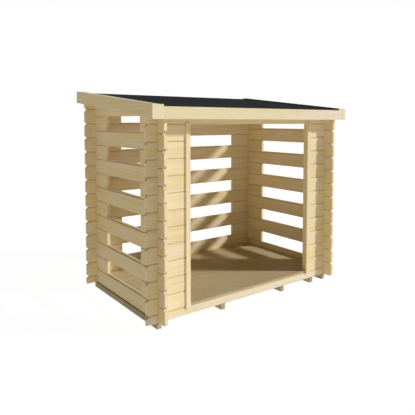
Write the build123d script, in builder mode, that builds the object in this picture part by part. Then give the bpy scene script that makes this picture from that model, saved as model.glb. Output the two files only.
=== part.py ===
"""Open log store: interlocking log walls on bearers, under a felted pent roof.

The frame's origin is at ground level under the middle of the walls. X runs along
the front, Y from the front to the back and Z up. Sizes are in millimetres.
Courses are counted from 0 at the bottom of the walls.
"""

import os

from build123d import *

# Walls, measured over their outer faces
wall_width = 2000.0
wall_depth = 1200.0
log_thickness = 28.0
course_height = 135.0
side_courses = 12
corner_overhang = 100.0
stub_length = 275.0

# Log section and corner joints
seam_chamfer = 4.5
tongue_width = 14.0
tongue_height = 12.0
tongue_gap = 0.5
notch_gap = 0.5
end_chamfer = 21.0

# Posts beside the front opening
jamb_width = 41.0
jamb_depth = 52.0
jamb_groove = 15.0
jamb_front_lip = 12.0
jamb_lap = 10.0
jamb_gap = 0.5

# Bearers and floor
bearer_height = 50.0
bearer_width = 42.0
inner_bearers_x = (-350.0, 373.0, 786.0)
left_bearer_outset = 9.0
right_bearer_inset = 12.0
floor_thickness = 19.0
floor_gap = 2.0
joist_width = 45.0

# Roof
roof_overhang = 135.0
deck_thickness = 15.0
felt_thickness = 4.0
trim_thickness = 18.0
fascia_height = 95.0
corner_board_width = 98.0
edge_strip_width = 72.0
edge_strip_thickness = 11.0

# Worked out from the sizes above
half_width = wall_width / 2
half_depth = wall_depth / 2
half_log = course_height / 2
notch_depth = course_height / 4
notch_width = log_thickness + 2 * notch_gap
sill_top = bearer_height + half_log
floor_top = sill_top + floor_thickness
lintel_bottom = bearer_height + side_courses * course_height - half_log
roof_slope = course_height / wall_depth
barge_offset = corner_overhang + trim_thickness
front_inner_y = -half_depth + log_thickness
front_stub_tip = -half_width + stub_length

# The jambs' faces, and the opening between them
jamb_left = front_stub_tip - jamb_groove
jamb_right = jamb_left + jamb_width
jamb_front = -half_depth - jamb_front_lip
jamb_back = jamb_front + jamb_depth
mouth_half = -jamb_right


def wall_plane(x, y, along):
    """The elevation plane through the middle of a wall: local x runs along it, local y up."""
    normal = Vector(along).cross(Vector(0, 0, 1))
    return Plane(origin=(x, y, bearer_height), x_dir=along, z_dir=normal)


front_wall = wall_plane(0, -half_depth + log_thickness / 2, (1, 0, 0))
back_wall = wall_plane(0, half_depth - log_thickness / 2, (1, 0, 0))
left_wall = wall_plane(-half_width + log_thickness / 2, 0, (0, 1, 0))

# How far from a wall's middle the walls that cross it stand
front_crossing = half_width - log_thickness / 2
side_crossing = half_depth - log_thickness / 2
front_end = half_width + corner_overhang
side_end = half_depth + corner_overhang


def roof_z(y):
    """Height of the deck's underside over a place between front and back."""
    return bearer_height + (side_courses + 0.5) * course_height + roof_slope * (y + half_depth)


def log_section(bottom, top, groove, tongue):
    """Outline of a log's section: shoulders bevelled at the seams, tongue up, groove down."""
    half = log_thickness / 2
    inner = half - seam_chamfer
    tongue_half = tongue_width / 2
    groove_half = tongue_half + tongue_gap
    groove_top = bottom + tongue_height + tongue_gap
    points = [(-half, bottom + seam_chamfer), (-inner, bottom)]
    if groove:
        points += [(-groove_half, bottom), (-groove_half, groove_top)]
        points += [(groove_half, groove_top), (groove_half, bottom)]
    points += [(inner, bottom), (half, bottom + seam_chamfer)]
    points += [(half, top - seam_chamfer), (inner, top)]
    if tongue:
        points += [(tongue_half, top), (tongue_half, top + tongue_height)]
        points += [(-tongue_half, top + tongue_height), (-tongue_half, top)]
    points += [(-inner, top), (-half, top - seam_chamfer)]
    return points


def add_log(wall, start, end, bottom, top, crossing, notches="both", groove=True, tongue=True, crest=0):
    """Adds one log to the part being built.

    start and end lie along the wall and bottom and top are heights on it. The walls that
    cross it stand at plus and minus crossing, and take a quarter course out of the log's
    top, its bottom or both. An end past a crossing is bevelled above and below, and a half
    log's only above, as it is sawn from a full one. A crest is wood over the top that is
    left for trimming.
    """
    section_origin = wall.from_local_coords((end, 0, 0))
    with BuildSketch(Plane(section_origin, x_dir=wall.z_dir, z_dir=-wall.x_dir)) as section:
        with BuildLine():
            Polyline(*log_section(bottom, top + crest, groove, tongue), close=True)
        make_face()
    extrude(section.sketch, amount=end - start)

    with BuildSketch(wall) as cuts:
        for place in (-crossing, crossing):
            if not start < place < end:
                continue
            if notches in ("both", "below"):
                with Locations((place, bottom)):
                    Rectangle(notch_width, notch_depth, align=(Align.CENTER, Align.MIN))
            if notches in ("both", "above"):
                with Locations((place, top - notch_depth)):
                    Rectangle(notch_width, notch_depth + tongue_height, align=(Align.CENTER, Align.MIN))
        bevel_run = end_chamfer + tongue_height
        for tip, inward in ((start, 1), (end, -1)):
            if abs(tip) < crossing:
                continue
            if top - bottom > half_log:
                with BuildLine():
                    Polyline(
                        (tip, bottom + end_chamfer),
                        (tip, bottom),
                        (tip + inward * end_chamfer, bottom),
                        close=True,
                    )
                make_face()
            if tongue:
                with BuildLine():
                    Polyline(
                        (tip, top - end_chamfer),
                        (tip, top + tongue_height),
                        (tip + inward * bevel_run, top + tongue_height),
                        close=True,
                    )
                make_face()
    if cuts.sketch.faces():
        extrude(cuts.sketch, amount=log_thickness, both=True, mode=Mode.SUBTRACT)


def trim_to_roof():
    """Cuts the part being built along the underside of the roof deck."""
    reach = half_depth + roof_overhang
    clear_top = roof_z(reach) + course_height
    with BuildSketch(Plane.YZ) as above:
        with BuildLine():
            Polyline(
                (-reach, roof_z(-reach)),
                (reach, roof_z(reach)),
                (reach, clear_top),
                (-reach, clear_top),
                close=True,
            )
        make_face()
    extrude(above.sketch, amount=wall_width, both=True, mode=Mode.SUBTRACT)


def add_sloped(x_from, x_to, y_from, y_to, low, high):
    """Adds a board that lies along the roof slope, between two heights over the deck's underside."""
    with BuildSketch(Plane.YZ.offset(x_from)) as side:
        with BuildLine():
            Polyline(
                (y_from, roof_z(y_from) + low),
                (y_to, roof_z(y_to) + low),
                (y_to, roof_z(y_to) + high),
                (y_from, roof_z(y_from) + high),
                close=True,
            )
        make_face()
    extrude(side.sketch, amount=x_to - x_from)


def add_box(x_from, x_to, y_from, y_to, z_from, z_to, mode=Mode.ADD):
    """Adds or cuts a box between its faces."""
    with Locations(((x_from + x_to) / 2, (y_from + y_to) / 2, (z_from + z_to) / 2)):
        Box(x_to - x_from, y_to - y_from, z_to - z_from, mode=mode)


def write(name, piece):
    """Writes one node."""
    piece.part.label = name
    export_step(piece.part, f"parts/{name}.step")


def write_pair(name, piece):
    """Writes a left-hand node and its mirror image on the right."""
    write(f"left_{name}", piece)
    with BuildPart() as opposite:
        add(mirror(piece.part, about=Plane.YZ))
    write(f"right_{name}", opposite)


os.makedirs("parts", exist_ok=True)

# Bearers from front to back: one under each side wall, three between them
left_bearer_x = -half_width - left_bearer_outset + bearer_width / 2
right_bearer_x = half_width - right_bearer_inset - bearer_width / 2
with BuildPart() as bearers:
    with Locations(*[(x, 0, 0) for x in (left_bearer_x, *inner_bearers_x, right_bearer_x)]):
        Box(bearer_width, wall_depth, bearer_height, align=(Align.CENTER, Align.CENTER, Align.MIN))
write("bearers", bearers)

# Floor joists, as high as the sill: one on each inner bearer and one against each side wall
wall_joist_x = half_width - log_thickness - joist_width / 2
joist_length = wall_depth - 2 * log_thickness
with BuildPart() as floor_joists:
    with Locations(*[(x, 0, bearer_height) for x in (-wall_joist_x, *inner_bearers_x, wall_joist_x)]):
        Box(joist_width, joist_length, half_log, align=(Align.CENTER, Align.CENTER, Align.MIN))
write("floor_joists", floor_joists)

# Floor on the joists, running out over the sill between the jambs
floor_half_x = half_width - log_thickness - floor_gap
floor_half_y = half_depth - log_thickness - floor_gap
floor_mouth_half = mouth_half - jamb_gap
with BuildPart() as floor_deck:
    add_box(-floor_half_x, floor_half_x, -floor_half_y, floor_half_y, sill_top, floor_top)
    add_box(-floor_mouth_half, floor_mouth_half, -half_depth, -floor_half_y, sill_top, floor_top)
write("floor_deck", floor_deck)

# Side walls: full logs in the even courses, stubs at both ends of the odd ones
stub_end = side_end - corner_overhang - stub_length
with BuildPart() as wall_long_logs:
    for course in range(0, side_courses, 2):
        bottom = course * course_height
        add_log(left_wall, -side_end, side_end, bottom, bottom + course_height, side_crossing, groove=course > 0)
write_pair("wall_long_logs", wall_long_logs)

with BuildPart() as wall_front_stubs:
    for course in range(1, side_courses, 2):
        bottom = course * course_height
        add_log(left_wall, -side_end, -stub_end, bottom, bottom + course_height, side_crossing)
write_pair("wall_front_stubs", wall_front_stubs)

with BuildPart() as wall_back_stubs:
    for course in range(1, side_courses, 2):
        bottom = course * course_height
        add_log(left_wall, stub_end, side_end, bottom, bottom + course_height, side_crossing)
write_pair("wall_back_stubs", wall_back_stubs)

# Over the courses, a log cut to the slope and a wedge on its rear half
gable_bottom = side_courses * course_height
wedge_bottom = gable_bottom + course_height
wedge_start = (wedge_bottom + bearer_height - roof_z(0)) / roof_slope
with BuildPart() as wall_top_log:
    add_log(
        left_wall,
        -side_end,
        side_end,
        gable_bottom,
        wedge_bottom,
        side_crossing,
        notches="below",
        tongue=False,
    )
    add_box(
        -half_width,
        -half_width + log_thickness,
        side_crossing - notch_width / 2,
        side_crossing + notch_width / 2,
        bearer_height + wedge_bottom - notch_depth,
        bearer_height + wedge_bottom,
        mode=Mode.SUBTRACT,
    )
    trim_to_roof()
write_pair("wall_top_log", wall_top_log)

with BuildPart() as wall_gable_wedge:
    add_log(
        left_wall,
        wedge_start,
        side_end,
        wedge_bottom,
        wedge_bottom + course_height,
        side_crossing,
        notches="below",
        groove=False,
        tongue=False,
    )
    trim_to_roof()
write_pair("wall_gable_wedge", wall_gable_wedge)

# Back wall: a half log, then full logs and pairs of stubs by turns, half a course up
back_stub_end = front_end - corner_overhang - stub_length
with BuildPart() as back_bottom_log:
    add_log(back_wall, -front_end, front_end, 0, half_log, front_crossing, notches="above", groove=False)
write("back_bottom_log", back_bottom_log)

with BuildPart() as back_long_logs:
    for course in range(0, side_courses, 2):
        bottom = course * course_height + half_log
        add_log(back_wall, -front_end, front_end, bottom, bottom + course_height, front_crossing)
write("back_long_logs", back_long_logs)

with BuildPart() as back_stubs:
    for course in range(1, side_courses, 2):
        bottom = course * course_height + half_log
        add_log(back_wall, -front_end, -back_stub_end, bottom, bottom + course_height, front_crossing)
write_pair("back_stubs", back_stubs)

with BuildPart() as back_top_log:
    bottom = side_courses * course_height + half_log
    add_log(back_wall, -front_end, front_end, bottom, bottom + course_height, front_crossing, tongue=False)
    trim_to_roof()
write("back_top_log", back_top_log)

# Front wall: a half log as the sill, stubs at both sides and a full log over the opening
with BuildPart() as front_sill_log:
    add_log(front_wall, -front_end, front_end, 0, half_log, front_crossing, notches="above", groove=False)
    # No tongue where the floor lies on it
    add_box(
        -mouth_half,
        mouth_half,
        -half_depth,
        front_inner_y,
        sill_top,
        sill_top + tongue_height,
        mode=Mode.SUBTRACT,
    )
write("front_sill_log", front_sill_log)

for name, first in (("front_lower_stubs", 0), ("front_upper_stubs", 1)):
    with BuildPart() as front_stubs:
        for course in range(first, side_courses - 1, 2):
            bottom = course * course_height + half_log
            add_log(front_wall, -front_end, front_stub_tip, bottom, bottom + course_height, front_crossing)
    write_pair(name, front_stubs)

with BuildPart() as front_lintel_log:
    bottom = lintel_bottom - bearer_height
    top = bottom + course_height
    crest = roof_slope * log_thickness
    add_log(front_wall, -front_end, front_end, bottom, top, front_crossing, tongue=False, crest=crest)
    trim_to_roof()
write("front_lintel_log", front_lintel_log)

# Jambs: grooved posts on the stubs' ends, lapping the sill and the lintel
slot_front = -half_depth - jamb_gap
slot_back = front_inner_y + jamb_gap
with BuildPart() as jamb:
    add_box(jamb_left, jamb_right, jamb_front, jamb_back, sill_top - jamb_lap, lintel_bottom + jamb_lap)
    # The groove that takes the stubs
    add_box(
        jamb_left,
        front_stub_tip + jamb_gap,
        slot_front,
        slot_back,
        sill_top,
        lintel_bottom,
        mode=Mode.SUBTRACT,
    )
    # The slot over the lintel, and the foot cut to the sill and the floor
    add_box(jamb_left, jamb_right, slot_front, slot_back, lintel_bottom, lintel_bottom + jamb_lap, Mode.SUBTRACT)
    add_box(jamb_left, jamb_right, slot_front, jamb_back, sill_top - jamb_lap, sill_top, Mode.SUBTRACT)
    add_box(jamb_left, jamb_right, front_inner_y, jamb_back, sill_top, floor_top, Mode.SUBTRACT)
    # The channel over the sill's tongue
    tongue_front = -half_depth + (log_thickness - tongue_width) / 2
    add_box(
        jamb_left,
        jamb_right,
        tongue_front - tongue_gap,
        tongue_front + tongue_width + tongue_gap,
        sill_top,
        sill_top + tongue_height + tongue_gap,
        mode=Mode.SUBTRACT,
    )
write_pair("jamb", jamb)

# Roof deck and felt between the bargeboards
deck_front = -half_depth - roof_overhang + trim_thickness
deck_back = half_depth + roof_overhang - trim_thickness
deck_side = half_width + corner_overhang
with BuildPart() as roof_deck:
    add_sloped(-deck_side, deck_side, deck_front, deck_back, 0, deck_thickness)
write("roof_deck", roof_deck)

felt_top = deck_thickness + felt_thickness
trim_bottom = deck_thickness - fascia_height
barge_side = half_width + barge_offset
strip_inner = barge_side - edge_strip_width
corner_inner = barge_side - corner_board_width
eave = half_depth + roof_overhang
with BuildPart() as roof_felt:
    add_sloped(-deck_side, deck_side, deck_front, deck_back, deck_thickness, felt_top)
    add_sloped(-corner_inner, corner_inner, -eave, eave, deck_thickness, felt_top)
write("roof_felt", roof_felt)

# Trim: bargeboards down the sides, fascias along the eaves, strips over the felt's edges
with BuildPart() as bargeboard:
    add_sloped(-barge_side, -deck_side, deck_front, deck_back, trim_bottom, felt_top)
write_pair("bargeboard", bargeboard)

with BuildPart() as front_fascia:
    add_sloped(-corner_inner, corner_inner, -eave, deck_front, trim_bottom, deck_thickness)
write("front_fascia", front_fascia)

with BuildPart() as back_fascia:
    add_sloped(-corner_inner, corner_inner, deck_back, eave, trim_bottom, deck_thickness)
write("back_fascia", back_fascia)

strip_top = felt_top + edge_strip_thickness
with BuildPart() as roof_edge_strip:
    add_sloped(-barge_side, -strip_inner, deck_front, deck_back, felt_top, strip_top)
write_pair("roof_edge_strip", roof_edge_strip)

# Boards across the four corners of the roof, over the ends of the strips
with BuildPart() as roof_corner_boards:
    add_sloped(-barge_side, -corner_inner, -eave, deck_front, trim_bottom, strip_top)
    add_sloped(-barge_side, -corner_inner, deck_back, eave, trim_bottom, strip_top)
write_pair("roof_corner_boards", roof_corner_boards)
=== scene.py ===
"""Looks of the open log store: planed spruce logs and boards, felt, nails, light and camera.

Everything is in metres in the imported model's frame: X along the front, Y from front to
back, Z up, origin on the ground under the middle of the walls.
"""

import math
import random

import bmesh
import bpy
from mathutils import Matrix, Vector, noise


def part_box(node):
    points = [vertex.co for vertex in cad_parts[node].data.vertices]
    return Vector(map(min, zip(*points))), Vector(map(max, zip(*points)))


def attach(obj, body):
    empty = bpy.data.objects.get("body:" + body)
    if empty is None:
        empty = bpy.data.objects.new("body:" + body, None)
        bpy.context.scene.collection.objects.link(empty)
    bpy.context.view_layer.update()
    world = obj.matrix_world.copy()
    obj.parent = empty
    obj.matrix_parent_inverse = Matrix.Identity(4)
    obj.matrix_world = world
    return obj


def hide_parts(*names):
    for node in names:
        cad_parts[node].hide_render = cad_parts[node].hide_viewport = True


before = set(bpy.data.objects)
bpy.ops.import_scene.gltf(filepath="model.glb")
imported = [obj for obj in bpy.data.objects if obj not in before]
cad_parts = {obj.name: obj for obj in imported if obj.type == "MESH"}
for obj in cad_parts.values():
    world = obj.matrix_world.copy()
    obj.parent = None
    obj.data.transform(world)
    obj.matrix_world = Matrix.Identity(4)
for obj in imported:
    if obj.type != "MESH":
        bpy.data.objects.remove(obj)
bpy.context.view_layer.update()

# ---------------------------------------------------------------- values of the scene

# The camera looks CAMERA_YAW degrees to the right of +Y and CAMERA_DOWN degrees below level, and
# its picture is shifted to frame the object. The lens is in millimetres
CAMERA_PLACE = (-2.8082, -3.6720, 1.6217)
CAMERA_YAW = 36.684
CAMERA_DOWN = 3.041
CAMERA_LENS = 40.20
CAMERA_SHIFT = -0.147
CAMERA_REACH = 100

# One sun from the right front, SUN_ANGLE degrees across, which softens the edges of its shadows
SUN_TRAVEL = (-0.690, 0.523, -0.500)
SUN_STRENGTH = 2.80
SUN_ANGLE = 5.0

# A faint sky: most of the light in the shade comes up from the floor
SKY_STRENGTH = 0.052
SKY_COLOUR = (1.0, 0.93, 0.79, 1.0)
WHITE = (1.0, 1.0, 1.0, 1.0)

# What the floor throws on the object: warm paint, mixed with an even glow that no shadow dims
STAGE_HALF = 30
FLOOR_PAINT = (1.0, 0.92, 0.735, 1.0)
FLOOR_LIFT = 1.11
FLOOR_LIFT_SHARE = 0.75

# What the camera sees of it: a white glow, with a share of white paint that keeps the shadow
FLOOR_GLOW = 1.11
FLOOR_SHADOW_SHARE = 0.12

# ---------------------------------------------------------------- values of the materials

# The axes that run along the grain, through a piece's thickness and across its width
LOG_ALONG_X = (0, 1, 2)
LOG_ALONG_Y = (1, 0, 2)
POST = (2, 1, 0)
FLAT_ALONG_X = (0, 2, 1)
FLAT_ALONG_Y = (1, 2, 0)

# Scales of the noises in wood: repeats in a metre along, through and across the grain
BEND_SCALE = (0.9, 5, 5)
PATCH_SCALE = (2.6, 15, 15)
STREAK_SCALE = (0.6, 42, 42)
FIBRE_SCALE = (14, 700, 700)
KNOT_EDGE_SCALE = (60, 60, 60)

# Where a piece is cut from its tree: how far from the pith, how far aside in widths, and how high up
PITH_DISTANCES = (0.010, 0.060)
PITH_ASIDE = 0.6
TREE_HEIGHT = 60

# Rings about the pith wander by RING_BEND; latewood sets in and ends over shares of a ring's width
RING_WIDTH = 0.0046
RING_BEND = 0.030
LATE_START = (0.45, 0.92)
LATE_STOP = (1.0, 0.95)

# Heartwood: the radii over which it sets in, how far they wander and how much yellow it adds; and
# the noise levels over which yellow patches set in, with how far each piece's tint moves them
HEART_RADII = (0.075, 0.035)
HEART_WANDER = 0.05
HEART_SHARE = 0.25
PATCH_LEVELS = (0.41, 0.59)
PATCH_DRIFT = 0.12

# Knots: the net they lie in, their radii, their ragged edge and the bulge of the rings round them,
# and the distances in radii over which a knot and its halo set in
KNOT_NET = 0.30
KNOT_RADII = (0.0015, 0.010)
KNOT_RAGGED = 0.006
KNOT_BULGE = 0.010
KNOT_REACH = (1.15, 0.75)
HALO_REACH = (3.2, 0.9)

# Streaks set in over noise levels. The shares say how strongly each thing colours the wood
STREAK_LEVELS = (0.40, 0.66)
STREAK_SHARE = 0.38
LATE_SHARE = 0.30
HALO_SHARE = 0.25
KNOT_SHARE = 0.8
# The seam share and tint paint shade, darker and browner, into the bevels of the grooves between logs and
# under the logs' ends
PAINTED_SEAM_SHADE_SHARE = 0.45
PAINTED_SEAM_SHADE_TINT = (0.55, 0.44, 0.32, 1.0)

# Lightness: from piece to piece, from fibre to fibre, and of the sides and the ends, where painted light
# makes the ends paler
PIECE_LIGHTNESS = (0.975, 1.025)
FIBRE_LIGHTNESS = (0.93, 1.07)
PAINTED_END_LIGHT = (1.0, 1.04)

# Relief of planed wood, with the strength and depth of its bump, and its gloss, more on latewood
FIBRE_RELIEF = 0.6
LATE_RELIEF = 0.5
KNOT_RELIEF = 0.4
WOOD_BUMP = (0.35, 0.0006)
WOOD_SPECULAR = 0.12
LATE_GLOSS = 0.10

# Saw marks: waves along the grain, in radians for each metre and for each unit of the rings' bend
SAW_WAVE = 1500.0
SAW_WAVE_BEND = 30.0

# Felt: bitumen with grains of mineral on it and clouds of dust. Nails are dulled in grains as small
GRIT_SCALE = (900, 900, 900)
GRIT_LEVELS = (0.45, 0.80)
CLOUD_SCALE = (3.0, 1.2, 3.0)
DUST_SHARE = 0.25
BITUMEN = (0.037, 0.0385, 0.0395, 1)
MINERAL = (0.113, 0.117, 0.118, 1)
DUST = (0.072, 0.0725, 0.072, 1)
FELT_BUMP = (0.5, 0.0008)
FELT_ROUGHNESS = 0.95
NAIL_ROUGHNESS = (0.38, 0.58)

# ---------------------------------------------------------------- values of the meshes

# Vertices within WELD of each other are one, and those within SAME_PLACE of an edge lie on it
WELD = 1e-6
SAME_PLACE = 1e-4
FLAT_ANGLE = math.radians(0.5)
SHARP_ANGLE = math.radians(18)

# Rounding of the edges: its section, and its width on each kind of timber; jambs and bearers are posts
EDGE_SEGMENTS = 2
EDGE_PROFILE = 0.6
LOG_EDGE = 0.0009
FLOOR_BOARD_EDGE = 0.0012
TRIM_EDGE = 0.0015
POST_EDGE = 0.002
ROOF_BOARD_EDGE = 0.0025

# A face is an end or a bevel when its normal leans over by more than this
END_LEAN = 0.8
BEVEL_LEAN = 0.5

FLOOR_BOARD_WIDTH = 0.095
ROOF_BOARD_WIDTH = 0.096
BOARD_GAP = 0.0012

# The nodes of logs, some of them in left and right pairs, and the logs that have the boards' wood
LOGS_X = ("back_bottom_log", "back_long_logs", "back_top_log", "front_sill_log", "front_lintel_log")
LOGS_X_PAIRS = ("back_stubs", "front_lower_stubs", "front_upper_stubs")
LOGS_Y_PAIRS = ("wall_long_logs", "wall_front_stubs", "wall_back_stubs", "wall_top_log", "wall_gable_wedge")
PALE_LOGS = ("front_sill_log", "front_lintel_log")

# Two widths of felt with a lap, which lifts the upper one by FELT_STEP, less where the sides hold it
FELT_ROLL_WIDTH = 1.0
FELT_LAP = 0.10
FELT_STEP = 0.0018
LAP_FADE = 1.5 * FELT_LAP
LAP_SIDE_FADE = 0.02
LAP_SIDE_SHARE = 0.2

# Ripples, which die out near the felt's edges: (repeats in a metre across, along, layer, share)
RIPPLES = ((3.1, 1.6, 4.0, 1.0), (8.0, 3.0, 9.0, 0.5))
RIPPLE_HEIGHT = 0.0011
RIPPLE_FADE = 0.12

# Numbers of cells in the felt's meshes
FELT_COLUMNS = 120
FELT_LOWER_ROWS = 60
FELT_UPPER_ROWS = 50
FELT_EDGE_ROWS = 2

# Section of the felt's turned-up edge: (run in from the strip, rise in thicknesses of the strip)
FELT_COVE = (
    (0.0, 0.90),
    (0.0016, 0.92),
    (0.0024, 0.30),
    (0.0050, 0.10),
    (0.0140, 0.02),
    (0.0140, -0.06),
    (0.0, -0.06),
)

# ---------------------------------------------------------------- values of the nails

NAIL_RADIUS = 0.0022
JAMB_NAIL_RADIUS = 0.8 * NAIL_RADIUS
CLOUT_RADIUS = 0.0045

# A head is a ring sunk by NAIL_SINK and two more at (share of the radius, height in radii)
NAIL_SIDES = 12
NAIL_SINK = 0.0006
NAIL_RINGS = ((1.0, 0.10), (0.82, 0.22))

# Rows of nails: (inset from the ends, spacing)
FASCIA_ROW = (0.05, 0.29)
BARGEBOARD_ROW = (0.06, 0.26)
STRIP_ROW = (0.04, 0.26)
EAVE_ROW = (0.03, 0.11)
LAP_ROW = (0.04, 0.075)

# Insets from a board's edges, as shares of its width
FLOOR_NAIL_SHARE = 0.24
STRIP_NAIL_SHARE = 0.2

# Floor nails stray from the joists' middles, one way in the back boards and the other in the front
FLOOR_NAIL_STRAY_BACK = 0.004
FLOOR_NAIL_STRAY_FRONT = -0.003

# Nails in the corner boards: inset from the edges, the lower ones' drop under the deck, and rises
CORNER_NAIL_INSET = 0.018
CORNER_NAIL_DROP = 0.050
CORNER_NAIL_RISES = (0.0, 0.058)

# Nails in the jambs, from their top and their bottom, and clouts from the felt's edges and the lap
JAMB_NAIL_DROPS = (0.004, 0.022)
JAMB_NAIL_RISE = 0.005
EAVE_NAIL_INSET = 0.022
LAP_NAIL_INSET = 0.025


# ---------------------------------------------------------------- node trees


class Graph:
    """Builds a node tree: each method adds nodes and gives back the socket that comes out."""

    def __init__(self, owner):
        owner.use_nodes = True
        self.tree = owner.node_tree
        self.tree.nodes.clear()

    def add(self, kind, inputs=(), **settings):
        """Adds one node and gives back the node, with its sockets set or linked."""
        made = self.tree.nodes.new(kind)
        for name, value in settings.items():
            setattr(made, name, value)
        for name, value in dict(inputs).items():
            self.feed(made.inputs[name], value)
        return made

    def feed(self, socket, value):
        """Links the socket, or sets its own value."""
        if isinstance(value, bpy.types.NodeSocket):
            self.tree.links.new(value, socket)
        else:
            socket.default_value = value

    def shader(self, kind, inputs):
        return self.add(kind, inputs).outputs[0]

    def attribute(self, name, output):
        return self.add("ShaderNodeAttribute", attribute_name=name).outputs[output]

    def parts(self, vector):
        return self.add("ShaderNodeSeparateXYZ", {0: vector}).outputs

    def math(self, operation, *values):
        return self.add("ShaderNodeMath", dict(enumerate(values)), operation=operation).outputs[0]

    def multiply_add(self, value, factor, addend):
        return self.math("MULTIPLY_ADD", value, factor, addend)

    def spread(self, value, low, high):
        """low where value is 0 and high where it is 1."""
        return self.multiply_add(value, high - low, low)

    def stretch(self, place, scale):
        return self.add("ShaderNodeVectorMath", {0: place, 1: scale}, operation="MULTIPLY").outputs[0]

    def noise(self, place, scale, detail=2.0, roughness=0.5):
        """Smooth noise around 0.5 over place stretched by scale."""
        stretched = self.stretch(place, scale)
        inputs = {"Vector": stretched, "Scale": 1.0, "Detail": detail, "Roughness": roughness}
        return self.add("ShaderNodeTexNoise", inputs).outputs[0]

    def swing(self, value):
        """A value around 0.5, moved to lie around 0."""
        return self.math("SUBTRACT", value, 0.5)

    def step(self, value, start, stop):
        """0 at start, 1 at stop and smooth between, whichever of the two is higher."""
        inputs = {"Value": value, "From Min": start, "From Max": stop}
        return self.add("ShaderNodeMapRange", inputs, interpolation_type="SMOOTHSTEP").outputs[0]

    def mix(self, share, first, second, blend="MIX"):
        """Two colours mixed, through the sockets of a Mix node that are for colours."""
        made = self.add("ShaderNodeMix", data_type="RGBA", blend_type=blend)
        for index, value in ((0, share), (6, first), (7, second)):
            self.feed(made.inputs[index], value)
        return made.outputs[2]

    def multiply(self, colour, other):
        return self.mix(1.0, colour, other, "MULTIPLY")

    def stain(self, colour, share, strength, towards):
        """A colour moved towards another by share times strength."""
        return self.mix(self.math("MULTIPLY", share, strength), colour, towards)

    def mix_shader(self, share, first, second):
        return self.shader("ShaderNodeMixShader", {0: share, 1: first, 2: second})

    def bump(self, height, strength, distance):
        inputs = {"Strength": strength, "Distance": distance, "Height": height}
        return self.add("ShaderNodeBump", inputs).outputs[0]

    def finish(self, kind, shader):
        """The output node, which ends the tree."""
        self.add(kind, {0: shader})


def new_material(name):
    """(a material, the graph that its nodes go into)."""
    material = bpy.data.materials.new(name)
    return material, Graph(material)


def background_ray(graph, *rays):
    """1 for the kinds of ray that see the background itself, and 0 for those that light the object."""
    path = graph.add("ShaderNodeLightPath")
    share = path.outputs[rays[0]]
    for ray in rays[1:]:
        share = graph.math("MAXIMUM", share, path.outputs[ray])
    return share


# ---------------------------------------------------------------- camera, light and stage


def make_camera():
    """The camera, to the left in front of the store at about eye height."""
    data = bpy.data.cameras.new("camera")
    data.lens = CAMERA_LENS
    data.shift_y = CAMERA_SHIFT
    data.clip_end = CAMERA_REACH
    camera = bpy.data.objects.new("camera", data)
    camera.location = CAMERA_PLACE
    camera.rotation_euler = (math.radians(90 - CAMERA_DOWN), 0, math.radians(-CAMERA_YAW))
    bpy.context.scene.collection.objects.link(camera)
    bpy.context.scene.camera = camera


def make_light():
    """One sun, and a faint warm sky that is seen as white."""
    sun = bpy.data.lights.new("sun", "SUN")
    sun.energy = SUN_STRENGTH
    sun.angle = math.radians(SUN_ANGLE)
    lamp = bpy.data.objects.new("sun", sun)
    lamp.rotation_euler = Vector(SUN_TRAVEL).to_track_quat("-Z", "Y").to_euler()
    bpy.context.scene.collection.objects.link(lamp)

    world = bpy.data.worlds.new("sky")
    bpy.context.scene.world = world
    graph = Graph(world)
    light = graph.shader("ShaderNodeBackground", {"Color": SKY_COLOUR, "Strength": SKY_STRENGTH})
    seen = graph.shader("ShaderNodeBackground", {"Color": WHITE, "Strength": 1.0})
    share = background_ray(graph, "Is Camera Ray", "Is Glossy Ray", "Is Transmission Ray")
    graph.finish("ShaderNodeOutputWorld", graph.mix_shader(share, light, seen))


def make_stage():
    """A wide white floor: white to the camera, with part of the object's shadow kept."""
    half = STAGE_HALF
    mesh = bpy.data.meshes.new("studio_floor")
    corners = [(-half, -half, 0), (half, -half, 0), (half, half, 0), (-half, half, 0)]
    mesh.from_pydata(corners, [], [(0, 1, 2, 3)])
    floor = bpy.data.objects.new("studio_floor", mesh)
    bpy.context.scene.collection.objects.link(floor)

    material, graph = new_material("studio_floor")
    paint = graph.shader("ShaderNodeBsdfDiffuse", {"Color": FLOOR_PAINT})
    lift = graph.shader("ShaderNodeEmission", {"Color": FLOOR_PAINT, "Strength": FLOOR_LIFT})
    lifted = graph.mix_shader(FLOOR_LIFT_SHARE, paint, lift)
    pale = graph.shader("ShaderNodeBsdfDiffuse", {"Color": WHITE})
    glow = graph.shader("ShaderNodeEmission", {"Color": WHITE, "Strength": FLOOR_GLOW})
    shown = graph.mix_shader(FLOOR_SHADOW_SHARE, glow, pale)
    share = background_ray(graph, "Is Camera Ray")
    graph.finish("ShaderNodeOutputMaterial", graph.mix_shader(share, lifted, shown))
    mesh.materials.append(material)


# ---------------------------------------------------------------- materials


def add_knots(graph, grain):
    """Knots straight through the thickness, one in each cell of a loose net: (knot, halo, bulge)."""
    per_metre = 1 / KNOT_NET
    face = graph.stretch(grain, (per_metre, 0, per_metre))
    cells = graph.add("ShaderNodeTexVoronoi", {"Vector": face, "Scale": 1.0}, voronoi_dimensions="3D")
    away = graph.math("MULTIPLY", cells.outputs["Distance"], KNOT_NET)
    chance = graph.parts(cells.outputs["Color"])[0]
    size = graph.spread(chance, *KNOT_RADII)
    wobble = graph.swing(graph.noise(grain, KNOT_EDGE_SCALE, 1.0))
    share = graph.math("DIVIDE", graph.multiply_add(wobble, KNOT_RAGGED, away), size)
    knot = graph.step(share, *KNOT_REACH)
    halo = graph.step(share, *HALO_REACH)
    bulge = graph.math("DIVIDE", KNOT_BULGE, graph.multiply_add(share, share, 1.0))
    return knot, halo, bulge


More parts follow.
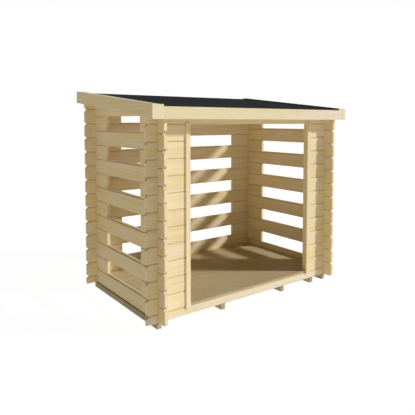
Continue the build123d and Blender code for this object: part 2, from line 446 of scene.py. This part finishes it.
def add_rings(graph, grain, bulge):
    """Rings about the pith, drawn out of round along the length: (radius, bend, latewood)."""
    bend = graph.swing(graph.noise(grain, BEND_SCALE))
    across = graph.stretch(grain, (0, 1, 1))
    radius = graph.add("ShaderNodeVectorMath", {0: across}, operation="LENGTH").outputs["Value"]
    radius = graph.math("ADD", graph.multiply_add(bend, RING_BEND, radius), bulge)
    year = graph.math("FRACT", graph.math("DIVIDE", radius, RING_WIDTH))
    late = graph.math("MULTIPLY", graph.step(year, *LATE_START), graph.step(year, *LATE_STOP))
    return radius, bend, late


def make_wood(name, sapwood, heartwood, latewood, knotwood, contrast=1.0, rough=0.62, saw_marks=0.0):
    """Solid spruce with rings, streaks, fibres and knots, all from each piece's own grain frame."""
    material, graph = new_material(name)
    grain = graph.attribute("grain", "Vector")
    tint = graph.parts(graph.attribute("tint", "Vector"))
    end = graph.attribute("end_grain", "Fac")
    painted_seam_shade = graph.attribute("painted_seam_shade", "Fac")
    knot, halo, bulge = add_knots(graph, grain)
    radius, bend, late = add_rings(graph, grain, bulge)
    patches = graph.noise(grain, PATCH_SCALE)
    broad = graph.noise(grain, STREAK_SCALE, 3.0, 0.65)
    fibre = graph.noise(grain, FIBRE_SCALE, 2.0, 0.6)

    # Yellow heartwood near the pith, and in patches that differ from piece to piece
    wandering = graph.multiply_add(graph.swing(broad), HEART_WANDER, radius)
    heart = graph.step(wandering, *HEART_RADII)
    mood = graph.multiply_add(graph.swing(tint[1]), PATCH_DRIFT, patches)
    yellow = graph.multiply_add(heart, HEART_SHARE, graph.step(mood, *PATCH_LEVELS))
    colour = graph.mix(graph.math("MINIMUM", yellow, 1.0), sapwood, heartwood)

    # Streaks, the dark part of each ring, and knots with their halos
    streaks = graph.step(broad, *STREAK_LEVELS)
    for share, strength in ((streaks, STREAK_SHARE), (late, LATE_SHARE), (halo, HALO_SHARE)):
        colour = graph.stain(colour, share, strength * contrast, latewood)
    colour = graph.stain(colour, knot, KNOT_SHARE, knotwood)

    # Pieces and fibres differ a little in lightness; ends are made paler by painted light, and the seams'
    # bevels are darkened by painted shade
    value = graph.spread(tint[0], *PIECE_LIGHTNESS)
    value = graph.math("MULTIPLY", value, graph.spread(fibre, *FIBRE_LIGHTNESS))
    # Painted light: end faces are made a little paler than the sides
    value = graph.math("MULTIPLY", value, graph.spread(end, *PAINTED_END_LIGHT))
    shade = graph.add("ShaderNodeCombineXYZ", {0: value, 1: value, 2: value}).outputs[0]
    colour = graph.multiply(colour, shade)
    colour = graph.stain(colour, painted_seam_shade, PAINTED_SEAM_SHADE_SHARE, graph.multiply(colour, PAINTED_SEAM_SHADE_TINT))

    # Fibres, latewood and knots stand out a little, and sawn timber has its marks
    relief = graph.math("MULTIPLY", fibre, FIBRE_RELIEF)
    relief = graph.multiply_add(late, LATE_RELIEF, relief)
    relief = graph.multiply_add(knot, KNOT_RELIEF, relief)
    if saw_marks:
        wave = graph.math("MULTIPLY", graph.parts(grain)[0], SAW_WAVE)
        marks = graph.math("SINE", graph.multiply_add(bend, SAW_WAVE_BEND, wave))
        relief = graph.multiply_add(marks, saw_marks, relief)
    looks = {
        "Base Color": colour,
        "Roughness": graph.spread(late, rough, rough - LATE_GLOSS),
        "Normal": graph.bump(relief, *WOOD_BUMP),
        "Specular IOR Level": WOOD_SPECULAR,
    }
    graph.finish("ShaderNodeOutputMaterial", graph.shader("ShaderNodeBsdfPrincipled", looks))
    return material


def make_felt_material():
    """Bitumen felt with mineral grit."""
    material, graph = new_material("mineral_felt")
    place = graph.add("ShaderNodeTexCoord").outputs["Object"]
    grit = graph.noise(place, GRIT_SCALE, 2.0, 0.7)
    clouds = graph.noise(place, CLOUD_SCALE, 3.0, 0.6)
    colour = graph.mix(graph.step(grit, *GRIT_LEVELS), BITUMEN, MINERAL)
    looks = {
        "Base Color": graph.stain(colour, clouds, DUST_SHARE, DUST),
        "Roughness": FELT_ROUGHNESS,
        "Normal": graph.bump(grit, *FELT_BUMP),
        "Specular IOR Level": 0.0,
    }
    graph.finish("ShaderNodeOutputMaterial", graph.shader("ShaderNodeBsdfPrincipled", looks))
    return material


def make_nail_material(name, dark, pale):
    """Zinc on steel, dulled in patches."""
    material, graph = new_material(name)
    place = graph.add("ShaderNodeTexCoord").outputs["Object"]
    dull = graph.noise(place, GRIT_SCALE)
    looks = {
        "Base Color": graph.mix(dull, dark, pale),
        "Roughness": graph.spread(dull, *NAIL_ROUGHNESS),
        "Metallic": 1.0,
    }
    graph.finish("ShaderNodeOutputMaterial", graph.shader("ShaderNodeBsdfPrincipled", looks))
    return material


# ---------------------------------------------------------------- meshes and pieces


def node_mesh(node):
    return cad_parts[node].data


def islands(bm):
    """The vertices of each solid in the mesh."""
    left = set(bm.verts)
    found = []
    for start in bm.verts:
        if start not in left:
            continue
        left.discard(start)
        group, front = [start], [start]
        while front:
            for edge in front.pop().link_edges:
                for other in edge.verts:
                    if other in left:
                        left.discard(other)
                        group.append(other)
                        front.append(other)
        found.append(group)
    return found


def spans_along_x(node):
    """The lowest and highest x of each solid in a node, from left to right."""
    bm = bmesh.new()
    bm.from_mesh(node_mesh(node))
    bmesh.ops.remove_doubles(bm, verts=bm.verts, dist=WELD)
    spans = sorted((min(v.co.x for v in group), max(v.co.x for v in group)) for group in islands(bm))
    bm.free()
    return spans


def soften(bm, width):
    """Merges flat facets into whole faces and rounds every sharp edge."""
    bmesh.ops.remove_doubles(bm, verts=bm.verts, dist=WELD)
    bmesh.ops.dissolve_limit(bm, angle_limit=FLAT_ANGLE, verts=bm.verts, edges=bm.edges)
    sharp = [e for e in bm.edges if len(e.link_faces) == 2 and e.calc_face_angle(0) > SHARP_ANGLE]
    bmesh.ops.bevel(
        bm,
        geom=sharp,
        offset=width,
        segments=EDGE_SEGMENTS,
        profile=EDGE_PROFILE,
        affect="EDGES",
        clamp_overlap=True,
    )
    bmesh.ops.recalc_face_normals(bm, faces=bm.faces)


def mark_grain(bm, axes, seed, paints_seam_shade=False):
    """Gives each solid its own grain frame, with the pith beside it, and its own tint; marks its end faces,
    and the bevels that get painted seam shade.
    """
    draw = random.Random(seed)
    grain = bm.verts.layers.float_vector.new("grain")
    tint = bm.verts.layers.float_vector.new("tint")
    end = bm.faces.layers.float.new("end_grain")
    painted_seam_shade = bm.faces.layers.float.new("painted_seam_shade")
    along, thick, wide = axes
    for group in islands(bm):
        low = [min(v.co[i] for v in group) for i in range(3)]
        high = [max(v.co[i] for v in group) for i in range(3)]
        middle = [(a + b) / 2 for a, b in zip(low, high)]
        side = draw.choice((-1, 1))
        pith_thick = middle[thick] + side * draw.uniform(*PITH_DISTANCES)
        pith_wide = middle[wide] + draw.uniform(-PITH_ASIDE, PITH_ASIDE) * (high[wide] - low[wide])
        start = draw.uniform(0, TREE_HEIGHT)
        mood = (draw.random(), draw.random(), draw.random())
        for v in group:
            v[grain] = (v.co[along] - low[along] + start, v.co[thick] - pith_thick, v.co[wide] - pith_wide)
            v[tint] = mood
    for face in bm.faces:
        lean = [abs(part) for part in face.normal]
        face[end] = 1.0 if lean[along] > END_LEAN else 0.0
        # Painted shade: bevels in the grooves between logs, and the downward-facing bevels at log ends, are
        # marked to be darkened
        seam_bevel = min(lean[2], lean[thick]) > BEVEL_LEAN
        lower_end_bevel = lean[along] > BEVEL_LEAN and face.normal.z < -BEVEL_LEAN
        face[painted_seam_shade] = 1.0 if paints_seam_shade and (seam_bevel or lower_end_bevel) else 0.0


def add_piece(name, bm, material, stands_for=()):
    """Makes the mesh a piece of the object, which may hide the CAD nodes that it stands for."""
    mesh = bpy.data.meshes.new(name)
    bm.to_mesh(mesh)
    bm.free()
    mesh.materials.append(material)
    piece = bpy.data.objects.new(name, mesh)
    bpy.context.scene.collection.objects.link(piece)
    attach(piece, "root")
    if stands_for:
        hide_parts(*stands_for)


def dress(node, axes, material, slot, width=TRIM_EDGE):
    """Makes the shown timber of a CAD node: the same solids, with rounded edges and grain."""
    bm = bmesh.new()
    bm.from_mesh(node_mesh(node))
    soften(bm, width)
    # Only the logs get painted shade in the bevels of their seams
    mark_grain(bm, axes, node, paints_seam_shade=slot == "log_timber")
    add_piece(f"{node}_timber", bm, material, [node])


def add_block(bm, low, high, rise=0.0):
    """Adds a box to the mesh, sheared upwards along Y by rise for each metre."""
    corners = []
    for z in (low[2], high[2]):
        for y in (low[1], high[1]):
            for x in (low[0], high[0]):
                corners.append(bm.verts.new((x, y, z + rise * (y - low[1]))))
    for face in ((0, 2, 3, 1), (4, 5, 7, 6), (0, 1, 5, 4), (2, 6, 7, 3), (0, 4, 6, 2), (1, 3, 7, 5)):
        bm.faces.new([corners[i] for i in face])


def join_rings(bm, lower, upper):
    """Adds the faces between two closed rings of vertices."""
    for i, start in enumerate(lower):
        after = (i + 1) % len(lower)
        bm.faces.new([start, lower[after], upper[after], upper[i]])


def add_plate(bm, outline, bottom, top):
    """Adds a flat plate with an outline in X and Y."""
    lower, upper = ([bm.verts.new((x, y, z)) for x, y in outline] for z in (bottom, top))
    bm.faces.new(lower[::-1])
    bm.faces.new(upper)
    join_rings(bm, lower, upper)


def board_edges(low, high, width):
    """(near edge, far edge) of each of the even boards from low to high, about width wide."""
    count = max(1, round((high - low) / width))
    pitch = (high - low) / count
    return [(low + i * pitch, low + (i + 1) * pitch) for i in range(count)]


def between(low, high, count):
    """The ends of count even steps from low to high."""
    return [low + (high - low) * i / count for i in range(count + 1)]


class RoofPlane:
    """A board or sheet along the roof's slope: its box, its thickness and its rise for each metre of Y."""

    def __init__(self, node):
        self.low, self.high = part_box(node)
        eave = [v.co.z for v in node_mesh(node).vertices if v.co.y < self.low.y + SAME_PLACE]
        self.thickness = max(eave) - min(eave)
        self.rise = (self.high.z - self.low.z - self.thickness) / (self.high.y - self.low.y)

    def height(self, y, up=0.0):
        """The height at y of the plane that lies by up over the underside."""
        return self.low.z + up + self.rise * (y - self.low.y)


# ---------------------------------------------------------------- logs, trim, floor and roof boards


def make_timbers(logs, boards, treated, floor_wood):
    """Dresses every log, trim board, bearer and joist in its wood."""
    for node in LOGS_X:
        dress(node, LOG_ALONG_X, boards if node in PALE_LOGS else logs, "log_timber", LOG_EDGE)
    for side in ("left", "right"):
        for node in LOGS_X_PAIRS:
            dress(f"{side}_{node}", LOG_ALONG_X, logs, "log_timber", LOG_EDGE)
        for node in LOGS_Y_PAIRS:
            dress(f"{side}_{node}", LOG_ALONG_Y, logs, "log_timber", LOG_EDGE)
        dress(f"{side}_jamb", POST, logs, "trim_timber", POST_EDGE)
        dress(f"{side}_bargeboard", LOG_ALONG_Y, logs, "trim_timber")
        dress(f"{side}_roof_edge_strip", FLAT_ALONG_Y, boards, "trim_timber")
        dress(f"{side}_roof_corner_boards", POST, boards, "trim_timber")
    for node in ("front_fascia", "back_fascia"):
        dress(node, LOG_ALONG_X, boards, "trim_timber")
    dress("bearers", FLAT_ALONG_Y, treated, "treated_timber", POST_EDGE)
    dress("floor_joists", FLAT_ALONG_Y, floor_wood, "floor_timber")


def floor_notch():
    """(where the floor starts behind the front logs, half its width where it lies over the sill)."""
    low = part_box("floor_deck")[0]
    corners = [v.co for v in node_mesh("floor_deck").vertices]
    inner_y = min(c.y for c in corners if c.x < low.x + SAME_PLACE)
    mouth_x = max(c.x for c in corners if c.y < low.y + SAME_PLACE)
    return inner_y, mouth_x


def make_floor(material):
    """Floor boards along the front; the first is notched round the jambs and lies over the sill."""
    low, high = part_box("floor_deck")
    inner_y, mouth_x = floor_notch()
    half_gap = BOARD_GAP / 2
    bm = bmesh.new()
    (near, far), *others = board_edges(low.y, high.y, FLOOR_BOARD_WIDTH)
    far -= half_gap
    left_half = [(0, near), (-mouth_x, near), (-mouth_x, inner_y), (low.x, inner_y), (low.x, far), (0, far)]
    outline = left_half[::-1] + [(-x, y) for x, y in left_half[1:-1]]
    add_plate(bm, outline, low.z, high.z)
    for near, far in others:
        add_block(bm, (low.x, near + half_gap, low.z), (high.x, far - half_gap, high.z))
    soften(bm, FLOOR_BOARD_EDGE)
    mark_grain(bm, FLAT_ALONG_X, "floor_deck")
    add_piece("floor_boards", bm, material, ["floor_deck"])


def make_roof_boards(material):
    """Roof boards down the slope, seen from below under the overhangs."""
    deck = RoofPlane("roof_deck")
    half_gap = BOARD_GAP / 2
    bm = bmesh.new()
    for left, right in board_edges(deck.low.x, deck.high.x, ROOF_BOARD_WIDTH):
        lower = (left + half_gap, deck.low.y, deck.low.z)
        upper = (right - half_gap, deck.high.y, deck.low.z + deck.thickness)
        add_block(bm, lower, upper, deck.rise)
    soften(bm, ROOF_BOARD_EDGE)
    mark_grain(bm, FLAT_ALONG_Y, "roof_deck")
    add_piece("roof_boards", bm, material, ["roof_deck"])


# ---------------------------------------------------------------- felt


class Felt:
    """Where the two widths of felt lie, and how high their undersides and tops are."""

    def __init__(self):
        self.plane = RoofPlane("roof_felt")
        self.low, self.high = self.plane.low, self.plane.high
        self.eave_half = -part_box("left_roof_corner_boards")[1].x
        self.strip_half = -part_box("left_roof_edge_strip")[1].x
        self.lap_start = self.low.y + FELT_ROLL_WIDTH - FELT_LAP

    def ripple(self, x, y):
        """How far the top lies off its plane: nothing at the edges, about a millimetre inside."""
        inside = min(1.0, (self.strip_half - abs(x)) / RIPPLE_FADE, (self.high.y - abs(y)) / RIPPLE_FADE)
        waves = sum(
            share * noise.noise(Vector((x * across, y * along, layer)))
            for across, along, layer, share in RIPPLES
        )
        return RIPPLE_HEIGHT * max(0.0, inside) * waves

    def bottom(self, y):
        return self.plane.height(y)

    def lower_top(self, x, y):
        return self.bottom(y) + self.plane.thickness + self.ripple(x, y)

    def upper_top(self, x, y):
        fade = max(0.0, 1 - max(0.0, y - self.lap_start) / LAP_FADE)
        side = min(1.0, max(0.0, (self.strip_half - abs(x)) / LAP_SIDE_FADE))
        return self.lower_top(x, y) + FELT_STEP * fade * (LAP_SIDE_SHARE + (1 - LAP_SIDE_SHARE) * side)


def rim(rows):
    """The outline of a grid of vertices, anticlockwise from its first one."""
    right = [row[-1] for row in rows[1:]]
    left = [row[0] for row in rows[-2:0:-1]]
    return rows[0] + right + rows[-1][-2::-1] + left


def add_felt_sheet(bm, felt, x_range, y_range, top, row_count):
    """A sheet of felt, closed all round, with its top on a fine grid so that it can lie unevenly."""
    columns = between(*x_range, FELT_COLUMNS)
    lines = between(*y_range, row_count)
    upper = [[bm.verts.new((x, y, top(x, y))) for x in columns] for y in lines]
    lower = [[bm.verts.new((x, y, felt.bottom(y))) for x in columns] for y in lines]
    for rows, turn in ((upper, 1), (lower, -1)):
        for near, far in zip(rows, rows[1:]):
            for i in range(FELT_COLUMNS):
                bm.faces.new([near[i], near[i + 1], far[i + 1], far[i]][::turn])
    join_rings(bm, rim(upper), rim(lower))


def add_felt_cove(bm, felt, side, y_range):
    """The felt's edge on one side, turned up along the edge strip."""
    strip_thickness = RoofPlane("left_roof_edge_strip").thickness
    ends = []
    for y in y_range:
        level = felt.bottom(y) + felt.plane.thickness
        section = [(felt.strip_half - run, level + up * strip_thickness) for run, up in FELT_COVE]
        ends.append([bm.verts.new((side * x, y, z)) for x, z in section])
    front, back = ends
    join_rings(bm, front, back)
    bm.faces.new(front[::-1])
    bm.faces.new(back)


def make_felt(felt, material):
    """Two widths with a lap, laid on the boards, dressed up the edge strips and lying a little unevenly."""
    deck_low, deck_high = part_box("roof_deck")
    whole = (felt.low.x, felt.high.x)
    eave = (-felt.eave_half, felt.eave_half)
    bm = bmesh.new()
    # The lower width, past the fascia at the front and under the strips at the sides
    add_felt_sheet(bm, felt, eave, (felt.low.y, deck_low.y), felt.lower_top, FELT_EDGE_ROWS)
    add_felt_sheet(bm, felt, whole, (deck_low.y, felt.lap_start), felt.lower_top, FELT_LOWER_ROWS)
    # The upper width, over the lap
    add_felt_sheet(bm, felt, whole, (felt.lap_start, deck_high.y), felt.upper_top, FELT_UPPER_ROWS)
    add_felt_sheet(bm, felt, eave, (deck_high.y, felt.high.y), felt.upper_top, FELT_EDGE_ROWS)
    for side in (-1, 1):
        add_felt_cove(bm, felt, side, (deck_low.y, deck_high.y))
    bmesh.ops.recalc_face_normals(bm, faces=bm.faces)
    add_piece("felt_sheets", bm, material, ["roof_felt"])


# ---------------------------------------------------------------- nails


def add_nail(bm, place, facing, radius):
    """A flat round head with a rounded rim, standing a little proud."""
    spin = Vector(facing).to_track_quat("Z", "Y")
    sunk = (1.0, -NAIL_SINK)
    raised = [(share, rise * radius) for share, rise in NAIL_RINGS]
    rings = []
    for share, height in (sunk, *raised):
        ring = []
        for k in range(NAIL_SIDES):
            turn = 2 * math.pi * k / NAIL_SIDES
            flat = Vector((math.cos(turn) * share, math.sin(turn) * share, 0)) * radius
            ring.append(bm.verts.new(Vector(place) + spin @ (flat + Vector((0, 0, height)))))
        rings.append(ring)
    for lower, upper in zip(rings, rings[1:]):
        join_rings(bm, lower, upper)
    bm.faces.new(rings[-1])
    bm.faces.new(rings[0][::-1])


def evenly(low, high, inset, spacing):
    """Places from low to high, inset at both ends and about spacing apart."""
    start, stop = low + inset, high - inset
    return between(start, stop, max(1, round((stop - start) / spacing)))


def make_floor_nails(material):
    """Two nails through each floor board into each joist that it crosses."""
    low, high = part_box("floor_deck")
    inner_y, mouth_x = floor_notch()
    joists = spans_along_x("floor_joists")
    bm = bmesh.new()
    for near, far in board_edges(low.y, high.y, FLOOR_BOARD_WIDTH):
        inset = FLOOR_NAIL_SHARE * (far - near)
        stray = FLOOR_NAIL_STRAY_BACK if near > 0 else FLOOR_NAIL_STRAY_FRONT
        for left, right in joists:
            middle = (left + right) / 2
            for y in (near + inset, far - inset):
                if y > inner_y or abs(middle) < mouth_x:
                    add_nail(bm, (middle + stray, y, high.z), (0, 0, 1), NAIL_RADIUS)
    add_piece("floor_nails", bm, material)


def nail_fascia(bm, node, facing, deck):
    """A row into the roof boards' ends."""
    low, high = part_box(node)
    y = low.y if facing < 0 else high.y
    z = deck.height(y, deck.thickness / 2)
    for x in evenly(low.x, high.x, *FASCIA_ROW):
        add_nail(bm, (x, y, z), (0, facing, 0), NAIL_RADIUS)


def nail_bargeboard(bm, side, facing, deck):
    """A row into the side of the outermost roof board."""
    low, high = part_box(f"{side}_bargeboard")
    x = low.x if facing < 0 else high.x
    for y in evenly(low.y, high.y, *BARGEBOARD_ROW):
        add_nail(bm, (x, y, deck.height(y, deck.thickness / 2)), (facing, 0, 0), NAIL_RADIUS)


def nail_edge_strip(bm, side):
    """Two rows down the strip over the felt's side edge."""
    strip = RoofPlane(f"{side}_roof_edge_strip")
    low, high = strip.low, strip.high
    inset = STRIP_NAIL_SHARE * (high.x - low.x)
    for y in evenly(low.y, high.y, *STRIP_ROW):
        for x in (low.x + inset, high.x - inset):
            add_nail(bm, (x, y, strip.height(y, strip.thickness)), (0, -strip.rise, 1), NAIL_RADIUS)


def nail_corner_boards(bm, side, deck):
    """Four nails in each of the boards across the roof's corners."""
    low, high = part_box(f"{side}_roof_corner_boards")
    for y, facing in ((low.y, -1), (high.y, 1)):
        for x in (low.x + CORNER_NAIL_INSET, high.x - CORNER_NAIL_INSET):
            for rise in CORNER_NAIL_RISES:
                z = deck.height(y, -CORNER_NAIL_DROP) + rise
                add_nail(bm, (x, y, z), (0, facing, 0), NAIL_RADIUS)


def nail_jamb(bm, side):
    """Small nails where the jamb laps the lintel and the sill."""
    low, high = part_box(f"{side}_jamb")
    x = (low.x + high.x) / 2
    for z in (*(high.z - drop for drop in JAMB_NAIL_DROPS), low.z + JAMB_NAIL_RISE):
        add_nail(bm, (x, low.y, z), (0, -1, 0), JAMB_NAIL_RADIUS)


def make_trim_nails(material):
    """Nails in the fascias, bargeboards, edge strips, corner boards and jambs."""
    deck = RoofPlane("roof_deck")
    bm = bmesh.new()
    for node, facing in (("front_fascia", -1), ("back_fascia", 1)):
        nail_fascia(bm, node, facing, deck)
    for side, facing in (("left", -1), ("right", 1)):
        nail_bargeboard(bm, side, facing, deck)
        nail_edge_strip(bm, side)
        nail_corner_boards(bm, side, deck)
        nail_jamb(bm, side)
    add_piece("trim_nails", bm, material)


def make_felt_nails(felt, material):
    """Clouts along the front and back edges and the lap."""
    up = (0, -felt.plane.rise, 1)
    front = (felt.low.y + EAVE_NAIL_INSET, felt.lower_top)
    back = (felt.high.y - EAVE_NAIL_INSET, felt.upper_top)
    bm = bmesh.new()
    for x in evenly(-felt.eave_half, felt.eave_half, *EAVE_ROW):
        for y, top in (front, back):
            add_nail(bm, (x, y, top(x, y)), up, CLOUT_RADIUS)
    y = felt.lap_start + LAP_NAIL_INSET
    for x in evenly(-felt.strip_half, felt.strip_half, *LAP_ROW):
        add_nail(bm, (x, y, felt.upper_top(x, y)), up, CLOUT_RADIUS)
    add_piece("felt_nails", bm, material)


# ---------------------------------------------------------------- the whole scene

make_camera()
make_light()
make_stage()

log_wood = make_wood(
    "spruce_logs",
    sapwood=(0.89, 0.77, 0.60, 1),
    heartwood=(0.875, 0.75, 0.46, 1),
    latewood=(0.72, 0.57, 0.32, 1),
    knotwood=(0.36, 0.19, 0.08, 1),
)
board_wood = make_wood(
    "spruce_boards",
    sapwood=(0.885, 0.795, 0.70, 1),
    heartwood=(0.86, 0.765, 0.52, 1),
    latewood=(0.77, 0.64, 0.44, 1),
    knotwood=(0.40, 0.22, 0.10, 1),
    contrast=0.8,
)
ceiling_wood = make_wood(
    "spruce_ceiling",
    sapwood=(0.57, 0.46, 0.31, 1),
    heartwood=(0.54, 0.43, 0.235, 1),
    latewood=(0.43, 0.32, 0.17, 1),
    knotwood=(0.27, 0.15, 0.07, 1),
)
floor_wood = make_wood(
    "spruce_floor",
    sapwood=(0.56, 0.46, 0.30, 1),
    heartwood=(0.525, 0.42, 0.23, 1),
    latewood=(0.42, 0.31, 0.16, 1),
    knotwood=(0.26, 0.15, 0.07, 1),
    contrast=0.5,
)
treated_wood = make_wood(
    "treated_timber",
    sapwood=(0.475, 0.445, 0.34, 1),
    heartwood=(0.425, 0.38, 0.257, 1),
    latewood=(0.305, 0.27, 0.193, 1),
    knotwood=(0.17, 0.12, 0.075, 1),
    rough=0.8,
    saw_marks=0.4,
)
make_timbers(log_wood, board_wood, treated_wood, floor_wood)
make_floor(floor_wood)
make_roof_boards(ceiling_wood)

felt = Felt()
make_felt(felt, make_felt_material())

nail_steel = make_nail_material("galvanised_nail", dark=(0.40, 0.38, 0.33, 1), pale=(0.55, 0.53, 0.47, 1))
clout_steel = make_nail_material("weathered_clout", dark=(0.04, 0.04, 0.04, 1), pale=(0.09, 0.09, 0.09, 1))
make_floor_nails(nail_steel)
make_trim_nails(nail_steel)
make_felt_nails(felt, clout_steel)

bpy.context.scene.view_settings.view_transform = "Standard"
